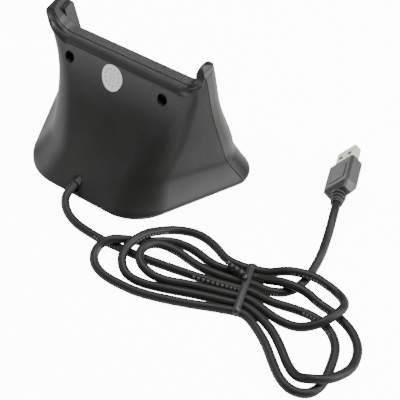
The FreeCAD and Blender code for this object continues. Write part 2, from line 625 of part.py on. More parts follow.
def dock_plug_contacts():
    strips = []
    half = DOCK_CONTACT_WIDTH / 2
    face = PLUG_N - DOCK_TONGUE / 2
    for index in range(DOCK_CONTACTS):
        x = (index - (DOCK_CONTACTS - 1) / 2) * DOCK_CONTACT_PITCH
        strips.append(lean_box(x - half, face - DOCK_CONTACT_THICKNESS, POCKET_FLOOR - 0.5, x + half, face,
                               PLUG_TOP_V - 1.2))
    return Part.makeCompound(strips)


def pivot_pin():
    return pivot_cylinder(PIN_RADIUS, CARRIER_LENGTH + 2 * (LUG_GAP + LUG_THICKNESS))


def return_springs():
    """Two small coil springs between the base plate and the front of the carrier's underside."""
    foot = SHELL_BOTTOM + SPRING_WIRE
    seat = lean_point(0, PLUG_N - SPRING_FORWARD, PIVOT_V - CARRIER_FLAT)
    height = seat.z - SPRING_RADIUS * math.tan(math.radians(LEAN)) - 2.2 * SPRING_WIRE - SHELL_BOTTOM
    springs = []
    for side in (-1, 1):
        helix = Part.makeHelix(height / SPRING_TURNS, height, SPRING_RADIUS)
        ring = Part.Wire([Part.Circle(vec(SPRING_RADIUS, 0, 0), vec(0, 1, 0.25), SPRING_WIRE).toShape()])
        coil = Part.Wire(helix.Edges).makePipeShell([ring], True, True)
        coil.translate(vec(side * SPRING_X, seat.y, foot))
        springs.append(coil)
    return Part.makeCompound(springs)


# ---- electronics -----------------------------------------------------------------------------
BOARD_Z0 = SHELL_BOTTOM + STANDOFF_HEIGHT
BOARD_Z1 = BOARD_Z0 + BOARD_THICKNESS
BOARD_MIDDLE = PARTING_Y + BOARD_CENTRE_Y


def control_board():
    board = box(-BOARD_X / 2, BOARD_MIDDLE - BOARD_Y / 2, BOARD_Z0, BOARD_X / 2, BOARD_MIDDLE + BOARD_Y / 2, BOARD_Z1)
    for side in (-1, 1):
        board = board.cut(cylinder(BOARD_SCREW_RADIUS + SCREW_CLEARANCE, 3,
                                   (side * BOARD_SCREW_X, BOARD_MIDDLE, BOARD_Z0 - 1)))
    return board


def board_screws():
    one = screw(BOARD_SCREW_RADIUS, BOARD_SCREW_HEAD, 1.1, BOARD_THICKNESS + STANDOFF_HEIGHT - 0.6)
    return Part.makeCompound([
        placed(one, (side * BOARD_SCREW_X, BOARD_MIDDLE, BOARD_Z1), (1, 0, 0), 180) for side in (-1, 1)])


def board_chips():
    """Chips on the board, the largest with its legs."""
    chips = []
    for x, y, wide, deep, high in CHIPS:
        chips.append(box(x, BOARD_MIDDLE + y, BOARD_Z1, x + wide, BOARD_MIDDLE + y + deep, BOARD_Z1 + high))
    x0, y0, wide, deep, high = CHIPS[0]
    for index in range(LEGS):
        x = x0 + wide * (index + 0.5) / LEGS
        leg = box(x - LEG_WIDTH / 2, BOARD_MIDDLE + y0 - LEG_REACH, BOARD_Z1, x + LEG_WIDTH / 2,
                  BOARD_MIDDLE + y0 + deep + LEG_REACH, BOARD_Z1 + LEG_HEIGHT)
        chips[0] = chips[0].fuse(leg)
    return Part.makeCompound(chips)


def board_capacitors():
    return Part.makeCompound([
        cylinder(radius, high, (x, BOARD_MIDDLE + y, BOARD_Z1)) for x, y, radius, high in CAPACITORS])


LED_FACE_Y = PARTING_Y + TAN * LED_Z - FRONT_REACH - 0.3


def status_led():
    lamp = cylinder(LED_RADIUS, LED_LENGTH, (LED_X, LED_FACE_Y, LED_Z), (0, 1, 0))
    collar = cylinder(LED_RADIUS + 0.4, 0.8, (LED_X, LED_FACE_Y + 3.2, LED_Z), (0, 1, 0))
    return lamp.fuse(collar)


def led_wires():
    start = LED_FACE_Y + LED_LENGTH
    front = BOARD_MIDDLE - BOARD_Y / 2
    top = BOARD_Z1 + WIRE_RADIUS
    wires = []
    for dx in (-0.8, 0.8):
        x = LED_X + dx
        wires.append(tube([(x, start, LED_Z), (x, start + 8, LED_Z + 0.8), (x + dx, front - 4, top + 1.2),
                           (x + dx, front + 3.5, top)], WIRE_RADIUS))
    return Part.makeCompound(wires)


def ribbon_cable():
    """Flat cable from just behind the carrier to the board's front edge."""
    rear = lean_point(0, PLUG_N + CARRIER_RADIUS + 0.4, PIVOT_V)
    front = BOARD_MIDDLE - BOARD_Y / 2
    top = BOARD_Z1
    line = [(rear.y, rear.z), (rear.y + 2.5, rear.z - 0.5), (front - 1.5, top + 1.2), (front + 3.0, top)]
    side = -RIBBON_WIDTH / 2
    upper = [vec(side, y, z + RIBBON_THICKNESS) for y, z in line]
    lower = [vec(side, y, z) for y, z in reversed(line)]
    return Part.Face(Part.makePolygon(upper + lower + upper[:1])).extrude(vec(RIBBON_WIDTH, 0, 0))


def ballast_weights():
    x, y = WEIGHT_CENTRE
    bars = []
    for side in (-1, 1):
        x0 = side * x - WEIGHT_X / 2
        y0 = PARTING_Y + y - WEIGHT_Y / 2
        bars.append(box(x0, y0, SHELL_BOTTOM, x0 + WEIGHT_X, y0 + WEIGHT_Y, SHELL_BOTTOM + WEIGHT_THICKNESS))
    return Part.makeCompound(bars)


# ---- lead, its fastening and the wires in it ----------------------------------------------------
def tube(points, radius, name=""):
    """Round tube along straight runs joined by tangent arcs."""
    corners = [vec(*p) for p in points]
    edges = []
    start = corners[0]
    for before, here, after in zip(corners, corners[1:], corners[2:]):
        back = before.sub(here)
        ahead = after.sub(here)
        half = (math.pi - back.getAngle(ahead)) / 2
        set_back = 0.45 * min(back.Length, ahead.Length)
        arc_radius = set_back / math.tan(half)
        back.normalize()
        ahead.normalize()
        first = here + back * set_back
        last = here + ahead * set_back
        inward = (back + ahead)
        inward.normalize()
        middle = here + inward * (arc_radius / math.cos(half) - arc_radius)
        edges.append(Part.LineSegment(start, first).toShape())
        edges.append(Part.Arc(first, middle, last).toShape())
        start = last
        if name:
            print(name, "arc radius", round(arc_radius, 1), "mm =", round(arc_radius / radius / 2, 1), "diameters")
    edges.append(Part.LineSegment(start, corners[-1]).toShape())
    path = Part.Wire(edges)
    ring = Part.Wire([Part.Circle(corners[0], corners[1].sub(corners[0]), radius).toShape()])
    solid = path.makePipeShell([ring], True, False)
    if name:
        print(name, "length", round(path.Length, 1), "volume over section times length",
              round(solid.Volume / (math.pi * radius ** 2 * path.Length), 4))
    return solid


LEAD_ROUTE = [(CABLE_EXIT_X, CABLE_END_Y, CABLE_EXIT_Z), (CABLE_EXIT_X, SLEEVE_Y1 + LEAD_STRAIGHT, CABLE_EXIT_Z),
              (-13.0, 54.5, FLOOR_LIE), (-33.0, 53.0, FLOOR_LIE)]


def usb_lead():
    return tube(LEAD_ROUTE, CABLE_RADIUS, "usb_lead").cut(cable_hank())


def lead_wires():
    top = BOARD_Z1 + WIRE_RADIUS
    edge = BOARD_MIDDLE + BOARD_Y / 2
    wires = []
    for index, (dx, dz) in enumerate([(-0.9, -0.6), (-0.3, 0.9), (0.5, -0.9), (1.1, 0.5)]):
        x = CABLE_EXIT_X + dx
        end = CABLE_EXIT_X - 4.5 + 3.0 * index
        start = CABLE_END_Y - WIRE_GAP
        wires.append(tube([(x, start, CABLE_EXIT_Z + dz), (x, start - 2.9, CABLE_EXIT_Z + dz + 0.3),
                           (end, edge + 1.5, top + 0.8), (end, edge - 2.5, top)], WIRE_RADIUS))
    return Part.makeCompound(wires)


def cable_sleeve():
    """Moulded grommet round the lead where it leaves the cradle."""
    base = (CABLE_EXIT_X, SLEEVE_Y0, CABLE_EXIT_Z)
    ring = cylinder(SLEEVE_RADIUS, SLEEVE_LENGTH, base, (0, 1, 0))
    return ring.cut(cylinder(CABLE_RADIUS, SLEEVE_LENGTH, base, (0, 1, 0)))


def cable_clamp():
    y0 = CLAMP_Y1 - CLAMP_Y
    block = box(CABLE_EXIT_X - CLAMP_X / 2, y0, SHELL_BOTTOM, CABLE_EXIT_X + CLAMP_X / 2, CLAMP_Y1,
                CLAMP_TOP)
    block = block.cut(cylinder(CABLE_RADIUS, 20, (CABLE_EXIT_X, y0 - 5, CABLE_EXIT_Z), (0, 1, 0)))
    for x, y in CLAMP_PLACES:
        block = block.cut(cylinder(BASE_SCREW_RADIUS + PILOT_CLEARANCE, CLAMP_SCREW_LENGTH, (x, PARTING_Y + y, 0)))
    return block


def clamp_screws():
    return screws_from_below(CLAMP_PLACES, CLAMP_SCREW_LENGTH - 2.0)


# ---- the hank ----------------------------------------------------------------------------------
def at_tie(shape):
    turned = shape.copy()
    turned.rotate(vec(0, 0, 0), vec(0, 0, 1), TIE_TURN)
    turned.translate(vec(TIE_PLACE[0], TIE_PLACE[1], 0))
    return turned


def bundle(length, grow):
    """Rounded bar along the bundle at the tie, grown on every side."""
    half = BUNDLE_WIDTH / 2 + grow
    z0 = FLOOR_GAP + TIE_THICKNESS + TIE_CLEARANCE - grow
    bar = box(-length / 2, -half, z0, length / 2, half, z0 + BUNDLE_HEIGHT + 2 * grow)
    along = [e for e in bar.Edges if abs(e.tangentAt(0).x) > 0.9]
    return bar.makeFillet(BUNDLE_CORNER + grow, along)


def cable_hank():
    """Outer shape of the loosely tied spare lead, waisted under the tie."""
    curve = Part.BSplineCurve()
    curve.interpolate([vec(x, y, FLOOR_GAP) for x, y in HANK_OUTLINE], PeriodicFlag=True)
    coil = Part.Face(Part.Wire([curve.toShape()])).extrude(vec(0, 0, HANK_HEIGHT))
    rims = [e for e in coil.Edges if len(e.Vertexes) < 2 or abs(e.Vertexes[0].Z - e.Vertexes[-1].Z) < 0.01]
    coil = coil.makeFillet(HANK_ROUND, rims)
    reach = TIE_LENGTH / 2 + TIE_SIDE_GAP
    slab = box(-reach, -BUNDLE_WIDTH * 2, -5, reach, BUNDLE_WIDTH * 2, 30)
    waist = at_tie(slab.cut(bundle(TIE_LENGTH + 2, 0.0)))
    return coil.cut(waist)


def twist_tie():
    """Flat tie round the bundle with its twisted ends."""
    grow = TIE_THICKNESS + TIE_CLEARANCE
    band = bundle(TIE_LENGTH, grow).cut(bundle(TIE_LENGTH + 2, TIE_CLEARANCE))
    top = FLOOR_GAP + 2 * grow + BUNDLE_HEIGHT
    tail = tube([(-1, 6, top + 0.15), (3, 1, top + 4.2), (8, -6, top + 2.4), (9.5, -13, top + 2.6)], TAIL_RADIUS)
    return at_tie(band.fuse(tail))


# ---- plug ------------------------------------------------------------------------------------
def at_plug(shape):
    """Move a shape drawn with the plug's tip along +Y to its place on the table."""
    moved = shape.copy()
    moved.rotate(vec(0, 0, 0), vec(0, 1, 0), PLUG_ROLL)
    moved.rotate(vec(0, 0, 0), vec(1, 0, 0), PLUG_PITCH)
    moved.rotate(vec(0, 0, 0), vec(0, 0, 1), PLUG_YAW - 90)
    moved.translate(vec(*PLUG_POINT))
    return moved


def centred_box(width, y0, y1, height):
    return box(-width / 2, y0, -height / 2, width / 2, y1, height / 2)


BOOT_CORE = CABLE_RADIUS + BOOT_WALL


def plug_body():
    """Overmould with chamfered ends and a grip groove."""
    w = MOULD_WIDTH / 2
    h = MOULD_THICKNESS / 2
    c = MOULD_CHAMFER
    sections = []
    for y, inset in ((0.0, c), (-c, 0.0), (-MOULD_LENGTH + SHOULDER_LENGTH, 0.0), (-MOULD_LENGTH, SHOULDER_INSET)):
        a = w - inset
        b = h - inset * 0.55
        k = 1.0
        ring = [(-a + k, -b), (a - k, -b), (a, -b + k), (a, b - k), (a - k, b), (-a + k, b), (-a, b - k), (-a, -b + k)]
        points = [vec(x, y, z) for x, z in ring]
        sections.append(Part.makePolygon(points + points[:1]))
    solid = Part.makeLoft(sections, True, True)
    y0 = -MOULD_LENGTH + GROOVE_BACK
    for side in (-1, 1):
        z0 = side * h - GROOVE_DEPTH
        z1 = z0 + 2 * GROOVE_DEPTH
        line = box(-w + 4.0, y0, z0, w - 3.0, y0 + GROOVE_WIDTH, z1)
        leg = box(w - 3.0 - GROOVE_WIDTH, y0, z0, w - 3.0, -GROOVE_FRONT, z1)
        solid = solid.cut(line.fuse(leg))
    solid = solid.cut(centred_box(USB_WIDTH, -SHELL_SUNK, 1, USB_THICKNESS))
    return at_plug(solid.cut(cylinder(BOOT_CORE, 6, (0, -MOULD_LENGTH, 0), (0, 1, 0))))


def plug_boot():
    """Ribbed strain relief behind the overmould."""
    start = -MOULD_LENGTH - BOOT_LENGTH
    solid = cylinder(BOOT_CORE, BOOT_LENGTH + 6, (0, start, 0), (0, 1, 0))
    y = -MOULD_LENGTH - RING_GAP
    for index in range(3):
        radius = BOOT_RADIUS - BOOT_TAPER * index
        solid = solid.fuse(cylinder(radius, RING_LENGTH, (0, y - RING_LENGTH, 0), (0, 1, 0)))
        y = y - RING_LENGTH - RING_GAP
    return at_plug(solid.cut(cylinder(CABLE_RADIUS, BOOT_LENGTH, (0, start, 0), (0, 1, 0))))


def plug_shell():
    case = centred_box(USB_WIDTH, -SHELL_SUNK, USB_LENGTH, USB_THICKNESS)
    case = case.cut(centred_box(USB_WIDTH - 2 * USB_SKIN, -SHELL_SUNK - 1, USB_LENGTH + 1,
                                  USB_THICKNESS - 2 * USB_SKIN))
    for side in (-1, 1):
        x0 = side * WINDOW_X - WINDOW_SIZE / 2
        case = case.cut(box(x0, WINDOW_START, -5, x0 + WINDOW_SIZE, WINDOW_START + WINDOW_SIZE, 5))
    return at_plug(case)


def plug_tongue():
    inner = USB_THICKNESS - 2 * USB_SKIN
    width = USB_WIDTH - 2 * USB_SKIN
    root = centred_box(width, -SHELL_SUNK, 0.5, inner)
    blade = box(-width / 2, -SHELL_SUNK, inner / 2 - TONGUE_THICKNESS, width / 2, USB_LENGTH - 0.4, inner / 2)
    return at_plug(root.fuse(blade))


def plug_contacts():
    z1 = USB_THICKNESS / 2 - USB_SKIN - TONGUE_THICKNESS
    half = USB_CONTACT_WIDTH / 2
    strips = []
    for x, behind in USB_CONTACTS:
        strips.append(box(x - half, 0.5, z1 - USB_CONTACT_THICKNESS, x + half, USB_LENGTH - behind, z1))
    return at_plug(Part.makeCompound(strips))


def plug_axis_point(distance):
    """Point on the plug's axis, measured back from the overmould's front."""
    yaw = math.radians(PLUG_YAW)
    pitch = math.radians(PLUG_PITCH)
    x, y, z = PLUG_POINT
    return (x - distance * math.cos(pitch) * math.cos(yaw), y - distance * math.cos(pitch) * math.sin(yaw),
            z - distance * math.sin(pitch))


BOOT_END = MOULD_LENGTH + BOOT_LENGTH
PLUG_LEAD_ROUTE = [plug_axis_point(MOULD_LENGTH), plug_axis_point(BOOT_END + 8.0),
                   (-122.0, 4.0, 6.5), (-123.5, 22.0, FLOOR_LIE)]


def plug_lead():
    return tube(PLUG_LEAD_ROUTE, CABLE_RADIUS, "plug_lead").cut(cable_hank())


def inspection_sticker():
    """Round sticker that follows the back face."""
    layer = body(-STICKER_THICKNESS, SHELL_BOTTOM, TOP_Z).cut(body(0.0, SHELL_BOTTOM, TOP_Z))
    return layer.common(lean_cylinder(STICKER_RADIUS, STICKER_X, 3, 20, STICKER_V))


NODES = [rear_cover, front_shell, base_plate, rubber_feet, base_screws, rear_screws, inspection_sticker,
         control_board, board_screws, board_chips, board_capacitors, status_led, led_wires, ribbon_cable,
         ballast_weights, connector_carrier, dock_plug_shell, dock_plug_tongue, dock_plug_contacts,
         pivot_pin, return_springs, cable_clamp, clamp_screws, cable_sleeve, lead_wires, usb_lead,
         cable_hank, twist_tie, plug_lead, plug_body, plug_boot, plug_shell, plug_tongue, plug_contacts]

os.makedirs("parts", exist_ok=True)
for make in NODES:
    make().exportStep("parts/" + make.__name__ + ".step")
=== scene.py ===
"""Desktop charging cradle with its USB lead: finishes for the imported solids, the lead, its tie, a stage."""
import json
import math

import bmesh
import bpy
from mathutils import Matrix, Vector


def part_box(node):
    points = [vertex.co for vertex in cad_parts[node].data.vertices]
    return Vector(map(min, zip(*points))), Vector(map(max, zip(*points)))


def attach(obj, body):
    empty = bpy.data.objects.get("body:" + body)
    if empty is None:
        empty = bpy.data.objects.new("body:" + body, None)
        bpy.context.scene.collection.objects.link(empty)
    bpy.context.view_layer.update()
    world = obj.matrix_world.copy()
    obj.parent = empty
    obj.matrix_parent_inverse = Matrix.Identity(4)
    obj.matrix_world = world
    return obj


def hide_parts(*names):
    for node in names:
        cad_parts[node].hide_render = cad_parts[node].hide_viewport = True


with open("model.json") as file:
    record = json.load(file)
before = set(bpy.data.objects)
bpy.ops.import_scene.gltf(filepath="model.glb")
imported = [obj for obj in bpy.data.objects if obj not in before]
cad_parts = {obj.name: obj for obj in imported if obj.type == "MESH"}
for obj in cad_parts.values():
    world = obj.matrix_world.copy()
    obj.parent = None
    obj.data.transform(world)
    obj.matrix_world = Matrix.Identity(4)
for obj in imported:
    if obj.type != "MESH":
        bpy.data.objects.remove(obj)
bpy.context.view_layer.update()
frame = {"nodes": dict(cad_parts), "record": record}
nodes = frame["nodes"]

MM = 0.001
UP = Vector((0, 0, 1))
CRADLE = "cradle"
LEAD = 0.0044             # diameter of the lead


# ---- camera, floor and light ------------------------------------------------------
CAMERA_AZIMUTH = 215.8    # degrees
CAMERA_ELEVATION = 44.8
CAMERA_DISTANCE = 0.5593
CAMERA_TARGET = (-0.0506, 0.0012, 0.0)
CAMERA_SENSOR = 36.0
CAMERA_LENS = 98.55

FLOOR_HALF = 3.0
FLOOR_COLOUR = (0.93, 0.93, 0.93, 1)
FLOOR_ROUGHNESS = 0.9
FLOOR_GLOW = 0.45         # what the floor gives as a light
WORLD_GLOW = 0.10         # what the surroundings give as a light
SEEN_GLOW = 12.0          # both where the camera sees them: plain white

LIGHTS = {                # place, the point that it faces, its two sides, watts
    "light_left": ((0.8, 0.35, 0.35), (0, 0, 0.03), (0.5, 0.7), 3.0),
    "light_right": ((-0.9, -0.25, 0.45), (-0.05, 0, 0.03), (0.6, 0.7), 11),
    "light_top": ((-0.05, -0.25, 0.95), (-0.05, 0, 0.0), (1.1, 0.6), 12),
}


def build_camera():
    azimuth, elevation = math.radians(CAMERA_AZIMUTH), math.radians(CAMERA_ELEVATION)
    back = Vector((math.sin(azimuth) * math.cos(elevation), -math.cos(azimuth) * math.cos(elevation),
                   math.sin(elevation)))
    data = bpy.data.cameras.new("camera")
    data.sensor_width = CAMERA_SENSOR
    data.lens = CAMERA_LENS
    data.dof.use_dof = False
    camera = bpy.data.objects.new("camera", data)
    camera.location = Vector(CAMERA_TARGET) + back * CAMERA_DISTANCE
    camera.rotation_euler = back.to_track_quat("Z", "Y").to_euler()
    bpy.context.collection.objects.link(camera)
    bpy.context.scene.camera = camera


def area_light(name, place, aim, size, watts):
    data = bpy.data.lights.new(name, "AREA")
    data.shape = "RECTANGLE"
    data.size, data.size_y = size
    data.energy = watts
    lamp = bpy.data.objects.new(name, data)
    lamp.location = place
    lamp.rotation_euler = (Vector(place) - Vector(aim)).to_track_quat("Z", "Y").to_euler()
    bpy.context.collection.objects.link(lamp)


def link_glow(tree, lighting, socket):
    """Strength of a pale surface: one value as a light, the white one where the camera sees it."""
    path = tree.nodes.new("ShaderNodeLightPath")
    glow = tree.nodes.new("ShaderNodeMapRange")
    glow.inputs["To Min"].default_value = lighting
    glow.inputs["To Max"].default_value = SEEN_GLOW
    tree.links.new(path.outputs["Is Camera Ray"], glow.inputs["Value"])
    tree.links.new(glow.outputs["Result"], socket)


def build_floor():
    mesh = bpy.data.meshes.new("floor")
    far = FLOOR_HALF
    mesh.from_pydata([(-far, -far, 0), (far, -far, 0), (far, far, 0), (-far, far, 0)], [], [(0, 1, 2, 3)])
    floor = bpy.data.objects.new("floor", mesh)
    bpy.context.collection.objects.link(floor)
    paper = bpy.data.materials.new("floor_paper")
    paper.use_nodes = True
    shader = paper.node_tree.nodes["Principled BSDF"]
    shader.inputs["Base Color"].default_value = FLOOR_COLOUR
    shader.inputs["Roughness"].default_value = FLOOR_ROUGHNESS
    shader.inputs["Emission Color"].default_value = (1, 1, 1, 1)
    link_glow(paper.node_tree, FLOOR_GLOW, shader.inputs["Emission Strength"])
    mesh.materials.append(paper)


def build_world():
    world = bpy.data.worlds.new("world")
    world.use_nodes = True
    background = world.node_tree.nodes["Background"]
    background.inputs["Color"].default_value = (1, 1, 1, 1)
    link_glow(world.node_tree, WORLD_GLOW, background.inputs["Strength"])
    bpy.context.scene.world = world


build_camera()
build_floor()
build_world()
for light, settings in LIGHTS.items():
    area_light(light, *settings)


# ---- materials ---------------------------------------------------------------------
FINE_GRAIN = 5200.0       # spark texture of the shells, as a noise scale
MIDDLE_GRAIN = 4200.0
COARSE_GRAIN = 2400.0
GRAIN_DEPTH = 0.00001
EDGE_ROUND = 0.0004       # how far the shells' edges look rounded
SMALL_EDGE_ROUND = 0.0001
MOTTLE = 0.10             # how far moulded plastic varies in tone
WEAR = 0.35
WEAR_FROM, WEAR_TO = 0.505, 0.56    # sharpness of an edge where wear begins and where it is full
WEAR_PATCHES = 900.0
WORN_TINT = 2.4

RIB_BAND = (0.0623, 0.0642)         # heights of the ribbed strip on top of the back wall
RIB_FACING = 0.9          # how squarely the strip faces up
RIB_PITCH = 0.0011
RIB_RELIEF = 9.0          # height of the ribs, in grains
# painted highlight: a lighter colour laid on the up-facing ribbed strip, and the share of it that is mixed in
RIB_HIGHLIGHT_COLOUR, RIB_HIGHLIGHT_SHARE = (0.02, 0.02, 0.02), 0.35

STICKER_MARKS, STICKER_MARK_HALF = 12, 0.13         # marks round the sticker, and half the share they fill
STICKER_RING, STICKER_RING_HALF = 0.0044, 0.00036   # radius of their ring, and half its width
STICKER_MIDDLE = 0.0022   # radius of the dashed middle
STICKER_ROWS, STICKER_ROW_SHARE = 700.0, 0.22       # rows per metre, and the marked share of each
STICKER_DASHES, STICKER_DASH_SHARE = 900.0, 0.6     # dashes per metre, and the marked share of each
STICKER_INK, STICKER_INK_STRENGTH = (0.16, 0.18, 0.24), 0.9

CABLE_BASE = (0.016, 0.016, 0.015)
CABLE_SPECULAR = 0.28
CABLE_INK, CABLE_INK_STRENGTH = (0.42, 0.42, 0.41), 0.30
CABLE_INK_PLACE, CABLE_INK_HALF = 0.30, 0.045       # shares of a turn round the jacket
CABLE_BLOCKS, CABLE_BLOCK_SHARE = 23.0, 0.42        # printed stretches along the lead
CABLE_TICKS, CABLE_TICK_SHARE = 620.0, 0.55         # ticks along the lead

TRACE_SCALE, TRACE_HALF = 260.0, 0.08               # traces of the board
CONDUCTOR_PITCH = 0.001   # of the flat cable


class Graph:
    """Shorthand for building one material's nodes."""

    def __init__(self, name):
        self.material = bpy.data.materials.new(name)
        self.material.use_nodes = True
        self.tree = self.material.node_tree
        self.shader = self.tree.nodes["Principled BSDF"]
        self.coords = self.tree.nodes.new("ShaderNodeTexCoord")

    def node(self, kind, **settings):
        made = self.tree.nodes.new(kind)
        for key, value in settings.items():
            setattr(made, key, value)
        return made

    def put(self, socket, value):
        """Give a socket a number, a colour or another node's output."""
        if isinstance(value, (int, float)):
            socket.default_value = value
        elif isinstance(value, tuple):
            socket.default_value = (*value, 1.0)
        else:
            self.tree.links.new(value, socket)

    def set(self, **values):
        for key, value in values.items():
            self.put(self.shader.inputs[key.replace("_", " ")], value)

    def axes(self, space):
        """The X, Y and Z outputs of one kind of coordinates."""
        split = self.node("ShaderNodeSeparateXYZ")
        self.put(split.inputs[0], self.coords.outputs[space])
        return split.outputs

    def noise(self, scale, detail=3.0):
        made = self.node("ShaderNodeTexNoise")
        self.put(made.inputs["Scale"], scale)
        self.put(made.inputs["Detail"], detail)
        self.put(made.inputs["Roughness"], 0.55)
        self.put(made.inputs["Vector"], self.coords.outputs["Object"])
        return made.outputs["Fac"]

    def math(self, operation, first, second=0.0, clamp=False):
        made = self.node("ShaderNodeMath", operation=operation, use_clamp=clamp)
        self.put(made.inputs[0], first)
        self.put(made.inputs[1], second)
        return made.outputs[0]

    def times(self, first, second):
        return self.math("MULTIPLY", first, second)

    def above(self, value, limit):
        return self.math("GREATER_THAN", value, limit)

    def below(self, value, limit):
        return self.math("LESS_THAN", value, limit)

    def near(self, value, middle, half):
        """1 where the value lies within half of middle, otherwise 0."""
        return self.below(self.math("ABSOLUTE", self.math("SUBTRACT", value, middle)), half)

    def dashes(self, value, count, share):
        """count dashes per unit of the value, each filling a share of its step."""
        return self.below(self.math("FRACT", self.times(value, count)), share)

    def span(self, value, low, high, to_low, to_high):
        made = self.node("ShaderNodeMapRange")
        self.put(made.inputs["Value"], value)
        for key, number in (("From Min", low), ("From Max", high), ("To Min", to_low), ("To Max", to_high)):
            self.put(made.inputs[key], number)
        return made.outputs["Result"]

    def mix(self, factor, first, second):
        made = self.node("ShaderNodeMix", data_type="RGBA")
        for index, value in ((0, factor), (6, first), (7, second)):
            self.put(made.inputs[index], value)
        return made.outputs[2]

    def bump(self, height, depth, round_edges=0.0):
        made = self.node("ShaderNodeBump")
        self.put(made.inputs["Distance"], depth)
        self.put(made.inputs["Strength"], 1.0)
        self.put(made.inputs["Height"], height)
        if round_edges:
            bevel = self.node("ShaderNodeBevel", samples=6)
            self.put(bevel.inputs["Radius"], round_edges)
            self.put(made.inputs["Normal"], bevel.outputs["Normal"])
        self.put(self.shader.inputs["Normal"], made.outputs["Normal"])

    def wear(self):
        """Share of wear on sharp outer edges, in patches."""
        sharpness = self.node("ShaderNodeNewGeometry").outputs["Pointiness"]
        edge = self.span(sharpness, WEAR_FROM, WEAR_TO, 0.0, WEAR)
        return self.math("MULTIPLY", edge, self.noise(WEAR_PATCHES), True)


def tinted(base, amount):
    return tuple(min(1.0, c * amount) for c in base)


def moulded(name, base, rough, grain=FINE_GRAIN, depth=GRAIN_DEPTH, edges=EDGE_ROUND, ribs=None):
    """Moulded plastic: fine spark texture, faint mottling and slightly polished edges.

    ribs(graph) gives the relief of a ribbed part, in grains, and where it lies; that place also gets a
    painted highlight.
    """
    g = Graph(name)
    colour = g.mix(g.noise(28.0, 4.0), tinted(base, 1 - MOTTLE), tinted(base, 1 + MOTTLE))
    colour = g.mix(g.wear(), colour, tinted(base, WORN_TINT))
    height = g.noise(grain, 2.0)
    if ribs:
        relief, place = ribs(g)
        height = g.math("ADD", height, relief)
        # painted highlight: the up-facing ribbed strip is tinted lighter
        colour = g.mix(g.times(place, RIB_HIGHLIGHT_SHARE), colour, RIB_HIGHLIGHT_COLOUR)
    g.set(Base_Color=colour, Specular_IOR_Level=0.5,
          Roughness=g.span(g.noise(65.0, 5.0), 0.3, 0.7, rough - 0.05, rough + 0.06))
    g.bump(height, depth, edges)
    return g.material


def metal(name, base, rough, metallic=1.0):
    """Drawn or plated metal with faint clouding."""
    g = Graph(name)
    colour = g.mix(g.noise(160.0, 4.0), tinted(base, 0.9), tinted(base, 1.06))
    g.set(Base_Color=colour, Metallic=metallic,
          Roughness=g.span(g.noise(700.0, 3.0), 0.3, 0.7, rough - 0.05, rough + 0.08))
    g.bump(g.noise(3000.0, 2.0), 0.000006, 0.0002)
    return g.material


def wall_ribs(g):
    """Fine ribs across the strip on top of the back wall, and where the strip faces up, which also gets a
    painted highlight.
    """
    place, facing = g.axes("Object"), g.axes("Normal")
    low, high = RIB_BAND
    level = g.times(g.above(place["Z"], low), g.below(place["Z"], high))
    flat = g.times(level, g.above(facing["Z"], RIB_FACING))
    ribs = g.math("SINE", g.times(place["X"], 2 * math.pi / RIB_PITCH))
    return g.times(g.times(ribs, flat), RIB_RELIEF), flat


def sticker_material():
    """White film with a ring of small marks, as on a plain inspection sticker."""
    low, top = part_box("inspection_sticker")
    g = Graph("sticker_white")
    place = g.axes("Object")
    across = g.math("SUBTRACT", place["X"], (low[0] + top[0]) / 2)
    rise = g.math("SUBTRACT", place["Z"], (low[2] + top[2]) / 2)
    radius = g.math("SQRT", g.math("ADD", g.times(across, across), g.times(rise, rise)))
    turns = g.times(g.math("ARCTAN2", rise, across), STICKER_MARKS / (2 * math.pi))
    spokes = g.near(g.math("FRACT", turns), 0.5, STICKER_MARK_HALF)
    ring = g.times(g.near(radius, STICKER_RING, STICKER_RING_HALF), spokes)
    rows = g.times(g.dashes(rise, STICKER_ROWS, STICKER_ROW_SHARE),
                   g.dashes(across, STICKER_DASHES, STICKER_DASH_SHARE))
    marks = g.math("MAXIMUM", ring, g.times(g.below(radius, STICKER_MIDDLE), rows))
    paper = g.mix(g.noise(220.0), (0.95, 0.95, 0.93), (1.0, 1.0, 0.99))
    g.set(Base_Color=g.mix(g.times(marks, STICKER_INK_STRENGTH), paper, STICKER_INK), Roughness=0.5)
    g.bump(g.noise(2600.0), 0.000008)
    return g.material


def cable_material():
    """Soft jacket with a faint run of plain printed ticks along it."""
    g = Graph("cable_black")
    place = g.axes("UV")
    band = g.near(place["Y"], CABLE_INK_PLACE, CABLE_INK_HALF)
    blocks = g.dashes(place["X"], CABLE_BLOCKS, CABLE_BLOCK_SHARE)
    ticks = g.dashes(place["X"], CABLE_TICKS, CABLE_TICK_SHARE)
    ink = g.times(g.times(band, blocks), g.times(ticks, CABLE_INK_STRENGTH))
    body = g.mix(g.noise(90.0, 4.0), tinted(CABLE_BASE, 0.85), tinted(CABLE_BASE, 1.25))
    g.set(Base_Color=g.mix(ink, body, CABLE_INK), Specular_IOR_Level=CABLE_SPECULAR,
          Roughness=g.span(g.noise(140.0, 4.0), 0.3, 0.7, 0.40, 0.52))
    g.bump(g.noise(1500.0, 3.0), 0.00002)
    return g.material


def board_material():
    """Green board with a network of traces."""
    g = Graph("board_green")
    traces = g.node("ShaderNodeTexVoronoi", feature="DISTANCE_TO_EDGE", distance="MANHATTAN")
    g.put(traces.inputs["Scale"], TRACE_SCALE)
    g.put(traces.inputs["Vector"], g.coords.outputs["Object"])
    line = g.below(traces.outputs["Distance"], TRACE_HALF)
    g.set(Base_Color=g.mix(line, (0.015, 0.11, 0.045), (0.04, 0.22, 0.09)), Roughness=0.32)
    g.bump(line, 0.00003)
    return g.material


def ribbon_material():
    """Flat cable with its conductors showing as lanes."""
    g = Graph("ribbon_grey")
    lane = g.math("SINE", g.times(g.axes("Object")["X"], 2 * math.pi / CONDUCTOR_PITCH))
    g.set(Base_Color=g.mix(g.span(lane, -1, 1, 0, 1), (0.45, 0.36, 0.22), (0.62, 0.55, 0.42)), Roughness=0.35)
    g.bump(lane, 0.00002)
    return g.material


